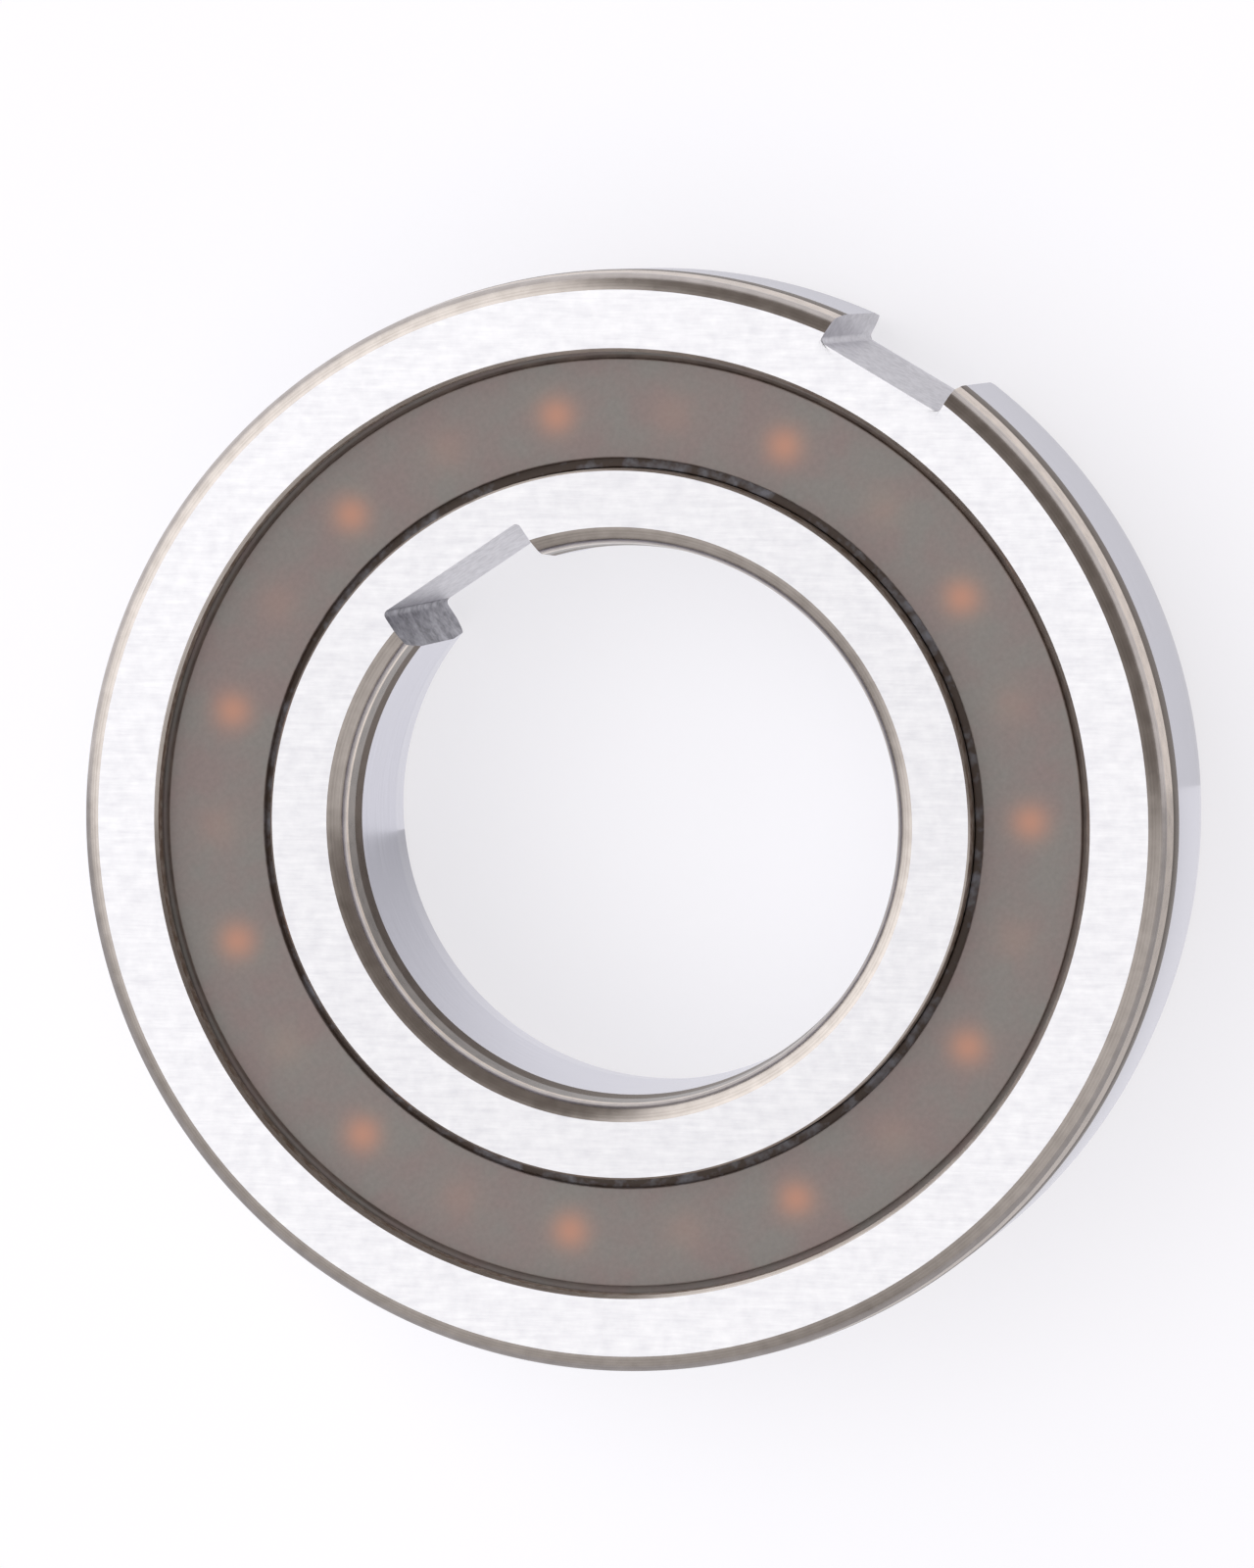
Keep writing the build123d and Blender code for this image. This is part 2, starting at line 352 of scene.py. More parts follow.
def smoked_shield_resin():
    """Smoked translucent resin plate, moulded matt with a grain of 0.4 mm and clouds of 4 mm.
    The balls' highlights are painted on it as soft warm spots, as if they glowed through it, and
    the sprags' as fainter ones between them. Painted shade darkens its bore's step, with painted
    glints, and its rim, where the painted shade fades out towards one side."""
    material, tree, place = new_material("smoked_shield_resin")
    grain = add(tree, "TexNoise", vector=place, scale=cells(0.3846),
                detail=3, roughness=0.6).outputs[0]
    clouds = add(tree, "TexNoise", vector=place, scale=cells(3.846), detail=3).outputs[0]
    plate = add(tree, "ValToRGB", _0=clouds,
                stops=((0.36, "#7B7774"), (0.64, "#7F7270"))).outputs[0]
    level = add(tree, "MapRange", value=grain, from_min=0.3, from_max=0.7, to_min=0.94,
                to_max=1.06).outputs[0]
    plate = add(tree, "HueSaturation", value=level, color=plate).outputs[0]

    parts = add(tree, "SeparateXYZ", vector=place)
    turn = add(tree, "Math", {"operation": "ARCTAN2"}, _0=parts.outputs["Y"],
               _1=parts.outputs["X"]).outputs[0]
    flat = add(tree, "VectorMath", {"operation": "MULTIPLY"}, _0=place, _1=(1, 1, 0)).outputs[0]
    radius = add(tree, "VectorMath", {"operation": "LENGTH"}, _0=flat).outputs["Value"]
    off_pitch = add(tree, "Math", {"operation": "SUBTRACT"}, _0=radius, _1=PITCH_R).outputs[0]

    def spots(shift, spread, strength):
        """Painted highlights: soft round spots on the pitch circle, one per pitch angle, each a
        bell curve of the distance from the spot's centre."""
        pitch = 2 * np.pi / PAIRS
        folded = add(tree, "Math", {"operation": "ADD"}, _0=turn, _1=shift * pitch).outputs[0]
        folded = add(tree, "Math", {"operation": "PINGPONG"}, _0=folded, _1=pitch / 2).outputs[0]
        aside = add(tree, "Math", {"operation": "MULTIPLY"}, _0=folded, _1=PITCH_R).outputs[0]
        offset = add(tree, "CombineXYZ", x=aside, y=off_pitch).outputs[0]
        squared = add(tree, "VectorMath", {"operation": "DOT_PRODUCT"}, _0=offset,
                      _1=offset).outputs["Value"]
        slope = add(tree, "Math", {"operation": "MULTIPLY"}, _0=squared,
                    _1=-0.5 / spread ** 2).outputs[0]
        bell = add(tree, "Math", {"operation": "EXPONENT"}, _0=slope).outputs[0]
        return add(tree, "Math", {"operation": "MULTIPLY"}, _0=bell, _1=strength).outputs[0]

    # Painted highlights of the balls behind the plate, warm and soft, and fainter ones of the
    # sprags between them.
    colour = add(tree, "Mix", {"data_type": "RGBA"}, _0=spots(0.5, 1.1 * MM, 0.2), _6=plate,
                 _7=linear("#AC8676")).outputs[2]
    colour = add(tree, "Mix", {"data_type": "RGBA"}, _0=spots(0, 0.95 * MM, 1.0), _6=colour,
                 _7=linear("#B0826F")).outputs[2]

    # Painted shade of the gap at the plate's bore, with painted glints, growing inwards past
    # SHIELD_BORE_R.
    bore_edge = add(tree, "MapRange", value=radius, from_min=SHIELD_BORE_R + 0.12 * MM,
                    from_max=SHIELD_BORE_R - 0.05 * MM, to_min=0, to_max=1).outputs[0]
    from_rim = add(tree, "Math", {"operation": "SUBTRACT"}, _0=radius,
                   _1=SHIELD_PLATE_R + 0.1 * MM).outputs[0]
    from_rim = add(tree, "Math", {"operation": "ABSOLUTE"}, _0=from_rim).outputs[0]
    # Painted shade in the gap at the plate's rim: strong at higher Y, fading out towards -Y.
    film = add(tree, "MapRange", value=parts.outputs["Y"], from_min=-32 * MM,
               from_max=-14 * MM, to_min=0.2, to_max=0.9).outputs[0]
    rim_edge = add(tree, "MapRange", value=from_rim, from_min=0.12 * MM, from_max=0.24 * MM,
                   to_min=film, to_max=0).outputs[0]
    # Mottle of the painted shade and painted glints in both gaps.
    smears = add(tree, "TexNoise", vector=place, scale=cells(1.613),
                 detail=3, roughness=0.6).outputs[0]
    bore_gap_shade_and_glints = add(tree, "ValToRGB", _0=smears,
                  stops=((0.48, "#4B3D35"), (0.7, "#7E7E86"))).outputs[0]
    rim_gap_painted_shade = add(tree, "ValToRGB", _0=smears,
                  stops=((0.35, "#4C3E37"), (0.7, "#6B5C53"))).outputs[0]
    colour = add(tree, "Mix", {"data_type": "RGBA"}, _0=bore_edge, _6=colour,
                 _7=bore_gap_shade_and_glints).outputs[2]
    colour = add(tree, "Mix", {"data_type": "RGBA"}, _0=rim_edge, _6=colour,
                 _7=rim_gap_painted_shade).outputs[2]
    bump = add(tree, "Bump", strength=0.12, distance=0.03 * MM, height=grain).outputs[0]
    shader = add(tree, "BsdfPrincipled", base_color=colour, roughness=0.6, ior=1.5, normal=bump)
    finish_material(tree, shader)
    return material


def polished_ball_steel():
    """Chrome steel ball, lapped to a mirror, with a faint haze in patches of 2 mm."""
    material, tree, place = new_material("polished_ball_steel")
    haze = add(tree, "TexNoise", vector=place, scale=cells(2), detail=2).outputs[0]
    rough = add(tree, "MapRange", value=haze, to_min=0.05, to_max=0.12).outputs[0]
    shader = add(tree, "BsdfPrincipled", base_color=linear("#D5D5D8"), metallic=1.0,
                 roughness=rough)
    finish_material(tree, shader)
    return material


def drawn_sprag_steel():
    """Sprag cut from cold-drawn bar and hardened: grey with drawing lines 0.4 mm wide along its
    length."""
    material, tree, place = new_material("drawn_sprag_steel")
    along = add(tree, "Mapping", vector=place, scale=(1, 1, 0.05)).outputs[0]
    lines = add(tree, "TexNoise", vector=along, scale=cells(0.4), detail=3).outputs[0]
    colour = add(tree, "ValToRGB", _0=lines,
                 stops=((0.3, "#86878C"), (0.7, "#ABABB0"))).outputs[0]
    rough = add(tree, "MapRange", value=lines, to_min=0.25, to_max=0.4).outputs[0]
    shader = add(tree, "BsdfPrincipled", base_color=colour, metallic=1.0, roughness=rough)
    finish_material(tree, shader)
    return material


def moulded_cage_polyamide():
    """Glass-filled polyamide cage, injection moulded: tan, slightly mottled by the fibres, which
    are half a millimetre long."""
    material, tree, place = new_material("moulded_cage_polyamide")
    fibres = add(tree, "TexNoise", vector=place, scale=cells(0.5556),
                 detail=4, roughness=0.7).outputs[0]
    colour = add(tree, "ValToRGB", _0=fibres,
                 stops=((0.35, "#BFB097"), (0.7, "#D2C5AC"))).outputs[0]
    bump = add(tree, "Bump", strength=0.15, distance=0.03 * MM, height=fibres).outputs[0]
    shader = add(tree, "BsdfPrincipled", base_color=colour, roughness=0.5, ior=1.53, normal=bump)
    finish_material(tree, shader)
    return material


def bright_spring_wire():
    """Hard-drawn stainless spring wire: bright, with drawing marks as long as it is thick."""
    material, tree, place = new_material("bright_spring_wire")
    draw = add(tree, "TexNoise", vector=place, scale=cells(0.25), detail=2).outputs[0]
    rough = add(tree, "MapRange", value=draw, to_min=0.18, to_max=0.32).outputs[0]
    shader = add(tree, "BsdfPrincipled", base_color=linear("#BDBDC1"), metallic=1.0,
                 roughness=rough)
    finish_material(tree, shader)
    return material


# Shapes.


def arc(centre, radius, start, end, steps=ARC_STEPS):
    """Points of a round arc in the (radius, height) plane, angles in degrees."""
    turn = np.radians(np.linspace(start, end, steps + 1))
    return np.stack([centre[0] + radius * np.cos(turn), centre[1] + radius * np.sin(turn)], -1)


def bend(start, end, start_dir, end_dir, steps=ARC_STEPS):
    """Quadratic curve from start to end that leaves along start_dir and arrives along end_dir:
    its middle control point is where the two tangent lines cross."""
    start, end = np.array(start), np.array(end)
    d0, d1 = np.array(start_dir), np.array(end_dir)
    along = np.linalg.solve(np.stack([d0, -d1], 1), end - start)[0]
    middle = start + along * d0
    t = np.linspace(0, 1, steps + 1)[:, None]
    return (1 - t) ** 2 * start + 2 * t * (1 - t) * middle + t ** 2 * end


def corner_run(wall_r, size, outwards):
    """Turned corner from the ground face to the top of the seat's taper, seen in section."""
    a, b = np.radians(CORNER_START_DEG), np.radians(CORNER_END_DEG)
    face_edge = (wall_r - outwards * size, HALF_WIDTH)
    seat_edge = (wall_r, HALF_WIDTH - size)
    leave = (outwards * np.cos(a), -np.sin(a))
    arrive = (outwards * np.cos(b), -np.sin(b))
    return bend(face_edge, seat_edge, leave, arrive)


def section(runs):
    """Closed ring section from runs of the upper half, given from the keyed wall round to the
    middle of the track. The lower half mirrors it, with its tapers ground like the seat instead
    of the painted reflection bands. Returns rows of (radius, height), the finish of the strip
    after each row, and which rows are sharp."""
    runs = [(np.array(points, float), finish) for points, finish in runs]
    lower = [(points[::-1] * (1, -1), finish) for points, finish in reversed(runs)]
    lower = [(points, SEAT if finish in TAPER_BANDS else finish) for points, finish in lower]
    rows, finishes, sharp = [], [], []
    for points, finish in runs + lower:
        sharp.append(sum(map(len, rows)))
        rows.append(points[:-1])
        finishes += [finish] * (len(points) - 1)
    middle_rows = {0, sharp[len(runs)]}
    return np.concatenate(rows), finishes, [row for row in sharp if row not in middle_rows]


def seat_runs(wall_r, corner_r, taper_z, corner_z, bands):
    """Keyed wall of a ring from mid height up to the corner: straight to taper_z, then a taper to
    corner_r at corner_z. bands gives the height of each band's lower edge and its finish."""
    heights = [low for low, _ in bands] + [corner_z]
    runs = [([(wall_r, 0), (wall_r, heights[0])], SEAT)]
    for (low, finish), high in zip(bands, heights[1:]):
        z = np.array([low, taper_z, high] if low < taper_z < high else [low, high])
        radius = np.interp(z, (taper_z, corner_z), (wall_r, corner_r))
        runs.append((np.stack([radius, z], -1), finish))
    return runs


def key_contour(key, outside):
    """Floor of a keyway across its width, as fixed (x, y) points between its two side walls,
    with x along the keyway's direction: a quarter circle, a straight floor and a quarter circle.
    outside is True if the keyway is cut into the ring's outside."""
    half, floor, _ = key
    away = -1 if outside else 1
    centre_x = floor - away * KEY_CORNER_R
    quarter = np.radians(np.linspace(0, 90, KEY_STEPS + 1))
    x = centre_x + away * KEY_CORNER_R * np.sin(quarter)
    y = -(half - KEY_CORNER_R) - KEY_CORNER_R * np.cos(quarter)
    flat = np.linspace(y[-1], -y[-1], 2 * KEY_STEPS + 1)[1:-1]
    x = np.concatenate([x, np.full(len(flat), floor), x[::-1]])
    y = np.concatenate([y, flat, -y[::-1]])
    return np.stack([x, y], -1)


def keyed_ring(name, runs, key, outside, flank):
    """Ring with one keyway. The section's rows are carried round the axis. On rows that the
    keyway cuts, the circle stops at the side walls, where sin(angle) = half width / radius, and
    the columns then follow the side wall, the floor and the other side wall. On the other rows
    those columns stay on the circle. flank is the finish of the side walls."""
    half, floor, direction = key
    rows, strip_finish, sharp_rows = section(runs)
    radius, height = rows[:, :1], rows[:, 1]
    corner_r = np.hypot(floor, half)
    cut = radius > corner_r if outside else radius < floor
    edge_r = np.min(radius[cut]) if outside else np.max(radius[cut])
    stop = np.where(cut, np.arcsin(half / np.where(cut, radius, edge_r)),
                    UNCUT_STOP * np.arcsin(half / edge_r))

    t = np.linspace(0, 1, RING_COLUMNS)
    turn = stop + t * (2 * np.pi - 2 * stop)
    main = np.stack([radius * np.cos(turn), radius * np.sin(turn)], -1)

    contour = key_contour(key, outside)
    side = np.linspace(0, 1, WALL_STEPS + 1)[1:-1]
    start_x = np.sqrt(np.maximum(radius ** 2 - half ** 2, 0))
    wall_x = start_x + (contour[0, 0] - start_x) * side
    wall = np.stack([wall_x, np.full_like(wall_x, -half)], -1)
    floor_points = np.broadcast_to(contour, (len(rows), *contour.shape))
    key_cut = np.concatenate([wall, floor_points, wall[:, ::-1] * (1, -1)], 1)
    widths = np.array([WALL_SHARE] * WALL_STEPS + [1] * (len(contour) - 1)
                      + [WALL_SHARE] * WALL_STEPS)
    along = 2 * np.cumsum(widths)[:-1] / np.sum(widths) - 1
    around = stop * along
    key_round = np.stack([radius * np.cos(around), radius * np.sin(around)], -1)
    flat = np.concatenate([main, np.where(cut[..., None], key_cut, key_round)], 1)

    c, s = np.cos(direction), np.sin(direction)
    x, y = flat[..., 0], flat[..., 1]
    z = np.broadcast_to(height[:, None], x.shape)
    points = np.stack([c * x - s * y, s * x + c * y, z], -1)

    columns = points.shape[1]
    key_start, key_end = RING_COLUMNS - 1, columns
    fillet = KEY_STEPS
    first_floor = RING_COLUMNS + len(side)
    last_floor = first_floor + len(contour) - 1
    sharp_columns = [key_start, 0, first_floor, first_floor + fillet, last_floor - fillet,
                     last_floor]
    cut_rows = np.flatnonzero(cut[:, 0])
    cut_strip = np.isin(np.arange(len(rows)), cut_rows) & np.isin(
        (np.arange(len(rows)) + 1) % len(rows), cut_rows)
    face_finish = np.repeat(np.array(strip_finish)[:, None], columns, 1)
    face_finish[cut_strip, key_start:key_end] = flank
    face_finish[cut_strip, first_floor + fillet:last_floor - fillet] = KEYWAY
    return torus_mesh(name, points, face_finish, RING_FINISHES, sharp_rows, sharp_columns,
                      cut_rows)


def torus_mesh(name, points, face_finish, finishes, sharp_rows, sharp_columns=(), cut_rows=()):
    """Mesh of a grid that closes on itself both ways, faces outwards: if the volume summed over
    the quads is negative, their corners are taken the other way round."""
    rows, columns = points.shape[:2]
    ids = np.arange(rows * columns).reshape(rows, columns)
    right, down = np.roll(ids, -1, 1), np.roll(ids, -1, 0)
    quads = np.stack([ids, right, np.roll(right, -1, 0), down], -1).reshape(-1, 4)
    flat = points.reshape(-1, 3)
    a, b, c, d = (flat[quads[:, i]] for i in range(4))
    volume = np.sum(a * np.cross(b, c)) + np.sum(a * np.cross(c, d))
    if volume < 0:
        quads = quads[:, ::-1]
    mesh = bpy.data.meshes.new(name)
    mesh.from_pydata(flat.tolist(), [], quads.tolist())
    mesh.shade_smooth()
    edges = np.empty(2 * len(mesh.edges), int)
    mesh.edges.foreach_get("vertices", edges)
    row, column = np.divmod(edges.reshape(-1, 2), columns)
    round_edge = row[:, 0] == row[:, 1]
    sharp = round_edge & np.isin(row[:, 0], sharp_rows)
    along_key = (column[:, 0] == column[:, 1]) & np.isin(column[:, 0], sharp_columns)
    sharp |= along_key & np.isin(row, cut_rows).all(1)
    mesh.edges.foreach_set("use_edge_sharp", sharp)
    for finish in finishes:
        mesh.materials.append(FINISHES[finish])
    mesh.polygons.foreach_set("material_index", np.asarray(face_finish, int).ravel())
    mesh.validate()
    return link(name, mesh)


def link(name, mesh):
    """Object of the mesh, at the origin, in the scene."""
    piece = bpy.data.objects.new(name, mesh)
    bpy.context.scene.collection.objects.link(piece)
    return piece


def seat(piece, body, slot, *nodes):
    """The piece rides on its body and stands for the CAD nodes. slot is not used."""
    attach(piece, body)
    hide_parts(*nodes)
    return piece


# The three taper band finishes are painted reflections on the upper tapers: a dark band, a middle
# one and a pale one.
RING_FINISHES = ["ground_face_steel", "turned_corner_steel", "painted_dark_band_steel",
                 "painted_mid_band_steel", "painted_pale_band_steel", "ground_seat_steel",
                 "milled_keyway_steel", "broached_flank_steel", "lapped_track_steel",
                 "oiled_edge_steel"]
FACE, CORNER, PAINTED_DARK_BAND, PAINTED_MID_BAND, PAINTED_PALE_BAND, SEAT, KEYWAY, FLANK, TRACK, OILED = range(10)
TAPER_BANDS = (PAINTED_DARK_BAND, PAINTED_MID_BAND, PAINTED_PALE_BAND)


def outer_ring():
    """Section from the outside diameter over the corner, face and shield seat to the groove."""
    top_r = OUTER_R - OUTER_TAPER[0]
    corner_z = HALF_WIDTH - OUTER_CORNER
    corner = corner_run(top_r, OUTER_CORNER, 1)[::-1]
    groove_centre = (PITCH_R + BALL_R + BALL_PLAY - GROOVE_R, 0)
    groove_deg = np.degrees(np.arccos((TRACK_OUT_R - groove_centre[0]) / GROOVE_R))
    groove = arc(groove_centre, GROOVE_R, groove_deg, 0)
    runs = [
        # Painted reflections on and below the taper: a dark band, then a pale one up to the
        # corner.
        *seat_runs(OUTER_R, top_r, corner_z - OUTER_TAPER[1], corner_z,
                   [(5.0 * MM, PAINTED_DARK_BAND), (7.6 * MM, PAINTED_PALE_BAND)]),
        (corner, CORNER),
        ([corner[-1], (OUTER_FACE_ROW, HALF_WIDTH),
          (SHIELD_MOUTH_R + MOUTH_BREAK, HALF_WIDTH)], FACE),
        ([(SHIELD_MOUTH_R + MOUTH_BREAK, HALF_WIDTH),
          (SHIELD_MOUTH_R, HALF_WIDTH - MOUTH_BREAK)], CORNER),
        ([(SHIELD_MOUTH_R, HALF_WIDTH - MOUTH_BREAK), (SHIELD_MOUTH_R, SHIELD_TOP)], OILED),
        ([(SHIELD_MOUTH_R, SHIELD_TOP), (SHIELD_MOUTH_R, SNAP_HIGH)], CORNER),
        ([(SHIELD_MOUTH_R, SNAP_HIGH), (SNAP_R, SNAP_HIGH)], TRACK),
        ([(SNAP_R, SNAP_HIGH), (SNAP_R, SNAP_LOW)], TRACK),
        ([(SNAP_R, SNAP_LOW), (TRACK_OUT_R, SNAP_LOW)], TRACK),
        ([(TRACK_OUT_R, SNAP_LOW), groove[0]], TRACK),
        (groove, TRACK),
    ]
    return keyed_ring("outer_ring_ground", runs, OUTER_KEY, True, KEYWAY)


def inner_ring():
    """Section from the bore over the corner and face to the groove."""
    top_r = BORE_R + BORE_TAPER[0]
    corner_z = HALF_WIDTH - BORE_CORNER
    corner = corner_run(top_r, BORE_CORNER, -1)[::-1]
    groove_centre = (PITCH_R - BALL_R - BALL_PLAY + GROOVE_R, 0)
    groove_deg = np.degrees(np.arccos((groove_centre[0] - TRACK_IN_R) / GROOVE_R))
    groove = arc(groove_centre, GROOVE_R, 180 - groove_deg, 180)
    runs = [
        # Painted reflections on and below the taper: a dark band, a middle one, then a pale one
        # up to the corner.
        *seat_runs(BORE_R, top_r, corner_z - BORE_TAPER[1], corner_z,
                   [(5.8 * MM, PAINTED_DARK_BAND), (7.6 * MM, PAINTED_MID_BAND), (9.3 * MM, PAINTED_PALE_BAND)]),
        (corner, CORNER),
        ([corner[-1], (INNER_FACE_ROW, HALF_WIDTH),
          (TRACK_IN_R - TRACK_BREAK, HALF_WIDTH)], FACE),
        ([(TRACK_IN_R - TRACK_BREAK, HALF_WIDTH), (TRACK_IN_R, HALF_WIDTH - TRACK_BREAK)],
         CORNER),
        ([(TRACK_IN_R, HALF_WIDTH - TRACK_BREAK), (TRACK_IN_R, STEP_TOP)], OILED),
        ([(TRACK_IN_R, STEP_TOP), groove[0]], TRACK),
        (groove, TRACK),
    ]
    return keyed_ring("inner_ring_ground", runs, INNER_KEY, False, FLANK)


def shield(name, side):
    """Stepped plate: its section is turned round the axis, and each corner of the section is a
    quadratic curve between two points SHIELD_EDGE_R from it. side is 1 at the front and -1 at
    the rear."""
    bottom = SHIELD_TOP - SHIELD_THICK
    corners = np.array([
        (SHIELD_BORE_R, SHIELD_TOP), (SHIELD_PLATE_R, SHIELD_TOP), (SHIELD_PLATE_R, SNAP_HIGH),
        (SNAP_R, SNAP_HIGH), (SNAP_R, SNAP_LOW), (RIM_INNER_R, SNAP_LOW), (RIM_INNER_R, bottom),
        (SHIELD_BORE_R + LIP_WIDTH, bottom), (SHIELD_BORE_R + LIP_WIDTH, LIP_BOTTOM),
        (STEP_R, LIP_BOTTOM), (STEP_R, STEP_TOP), (SHIELD_BORE_R, STEP_TOP)])
    to_last = np.roll(corners, 1, 0) - corners
    to_next = np.roll(corners, -1, 0) - corners
    to_last /= np.linalg.norm(to_last, axis=1, keepdims=True)
    to_next /= np.linalg.norm(to_next, axis=1, keepdims=True)
    t = np.linspace(0, 1, EDGE_POINTS)[None, :, None]
    start = (corners + SHIELD_EDGE_R * to_last)[:, None]
    end = (corners + SHIELD_EDGE_R * to_next)[:, None]
    middle = corners[:, None]
    rows = ((1 - t) ** 2 * start + 2 * t * (1 - t) * middle + t ** 2 * end).reshape(-1, 2)
    turn = np.linspace(0, 2 * np.pi, RING_COLUMNS, endpoint=False)
    radius, height = rows[:, :1], side * rows[:, 1:]
    points = np.stack([radius * np.cos(turn), radius * np.sin(turn),
                       np.broadcast_to(height, (len(rows), len(turn)))], -1)
    ends = np.arange(0, len(rows), EDGE_POINTS)
    finish = np.zeros(points.shape[:2], int)
    return torus_mesh(name, points, finish, ["smoked_shield_resin"],
                      np.concatenate([ends, ends + EDGE_POINTS - 1]))


def ball(name, centre):
    """Sphere on a grid of two angles, tilt from the pole and turn round it: the distance from
    the polar line is the radius times sin(tilt), and the height is the radius times cos(tilt).
    A fan of triangles closes each pole."""
    tilt = np.linspace(0, np.pi, BALL_BANDS + 1)[1:-1, None]
    turn = np.linspace(0, 2 * np.pi, BALL_COLUMNS, endpoint=False)
    grid = np.stack([np.sin(tilt) * np.cos(turn), np.sin(tilt) * np.sin(turn),
                     np.broadcast_to(np.cos(tilt), (len(tilt), len(turn)))], -1).reshape(-1, 3)
    points = BALL_R * np.concatenate([grid, [(0, 0, 1), (0, 0, -1)]]) + np.array(centre)
    ids = np.arange(len(grid)).reshape(len(tilt), len(turn))
    right = np.roll(ids, -1, 1)
    quads = np.stack([ids[:-1], ids[1:], right[1:], right[:-1]], -1).reshape(-1, 4)
    top = np.stack([np.full(len(turn), len(grid)), ids[0], right[0]], -1)
    base = np.stack([np.full(len(turn), len(grid) + 1), right[-1], ids[-1]], -1)
    mesh = bpy.data.meshes.new(name)
    mesh.from_pydata(points.tolist(), [], quads.tolist() + top.tolist() + base.tolist())
    mesh.shade_smooth()
    mesh.materials.append(FINISHES["polished_ball_steel"])
    return link(name, mesh)


def smooth_copy(name, node, finish, sharp_deg=28):
    """Copy of a CAD node with its loose triangles merged, smooth but for the edges that bend by
    more than sharp_deg."""
    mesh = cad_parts[node].data.copy()
    mesh.name = name
    work = bmesh.new()
    work.from_mesh(mesh)
    bmesh.ops.remove_doubles(work, verts=work.verts, dist=MERGE_DISTANCE)
    work.to_mesh(mesh)
    work.free()
    mesh.materials.clear()
    mesh.materials.append(FINISHES[finish])
    mesh.shade_smooth()
    mesh.set_sharp_from_angle(angle=np.radians(sharp_deg))
    return link(name, mesh)


def garter_spring(name, side):
    """Endless close-wound coil: a circle of wire, at angle v, carried along a helix of
    SPRING_TURNS turns that is itself bent round the axis, at angle u."""
    u = np.linspace(0, 2 * np.pi, SPRING_TURNS * SPRING_STEPS, endpoint=False)[:, None]
    v = np.linspace(0, 2 * np.pi, WIRE_SIDES, endpoint=False)
    coil = SPRING_COIL_R - SPRING_WIRE_R
    wind = SPRING_TURNS * u
    out = np.concatenate([np.cos(u), np.sin(u), 0 * u], 1)
    up = np.array([0.0, 0.0, 1.0])
    spoke = np.cos(wind) * out + np.sin(wind) * up
    line = SPRING_RING_R * out + coil * spoke + side * SPRING_Z * up
    tangent = np.roll(line, -1, 0) - np.roll(line, 1, 0)
    tangent /= np.linalg.norm(tangent, axis=1, keepdims=True)
    binormal = np.cross(tangent, spoke)
    ring = (np.cos(v)[None, :, None] * spoke[:, None] + np.sin(v)[None, :, None]
            * binormal[:, None])
    points = line[:, None] + SPRING_WIRE_R * ring
    finish = np.zeros(points.shape[:2], int)
    return torus_mesh(name, points, finish, ["bright_spring_wire"], [])


FINISHES = {material.name: material for material in (
    ground_face_steel(), turned_corner_steel(),
    # Painted reflection bands of the tapers: dark, middle and pale.
    painted_band_steel("painted_dark_band_steel", "#4A4340", "#5C5451", "#DBD5CF"),
    painted_band_steel("painted_mid_band_steel", "#6C645D", "#817870"),
    painted_band_steel("painted_pale_band_steel", "#CDBFB1", "#E4D5C6"),
    ground_seat_steel(), milled_keyway_steel(), broached_flank_steel(), lapped_track_steel(),
    oiled_edge_steel(), smoked_shield_resin(), polished_ball_steel(), drawn_sprag_steel(),
    moulded_cage_polyamide(), bright_spring_wire())}

seat(outer_ring(), "outer_ring", "ring_steel", "outer_ring")
seat(inner_ring(), "inner_ring", "ring_steel", "inner_ring")
for side, end in ((1, "front"), (-1, "rear")):
    plate = shield(f"{end}_shield_resin", side)
    seat(plate, "outer_ring", "shield_resin", f"{end}_shield")
    coil = garter_spring(f"{end}_garter_spring_coil", side)
    seat(coil, "cage", "spring_wire", f"{end}_garter_spring")
seat(smooth_copy("cage_moulded", "cage", "moulded_cage_polyamide"), "cage", "cage_polyamide",
     "cage")
for number in range(1, PAIRS + 1):
    node = f"ball_{number:02d}"
    low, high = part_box(node)
    seat(ball(f"{node}_lapped", (low + high) / 2), node, "ball_steel", node)
    node = f"sprag_{number:02d}"
    seat(smooth_copy(f"{node}_hardened", node, "drawn_sprag_steel"), node, "sprag_steel", node)


# Studio.

FLOOR_REACH = 4.0
FLOOR_GAP = 0.3 * MM
# The even part of the floor stops this far short of the rings' bore and outside.
UNDER_MARGIN = 1.5 * MM
# Shares of the floor's white that the eye sees, and of its cards that the pieces see.
EYE_SHARE = 0.62
PIECE_SHARE = 0.75
FLOOR_WHITE = 1.1
CLOTH_LEVEL = 0.22


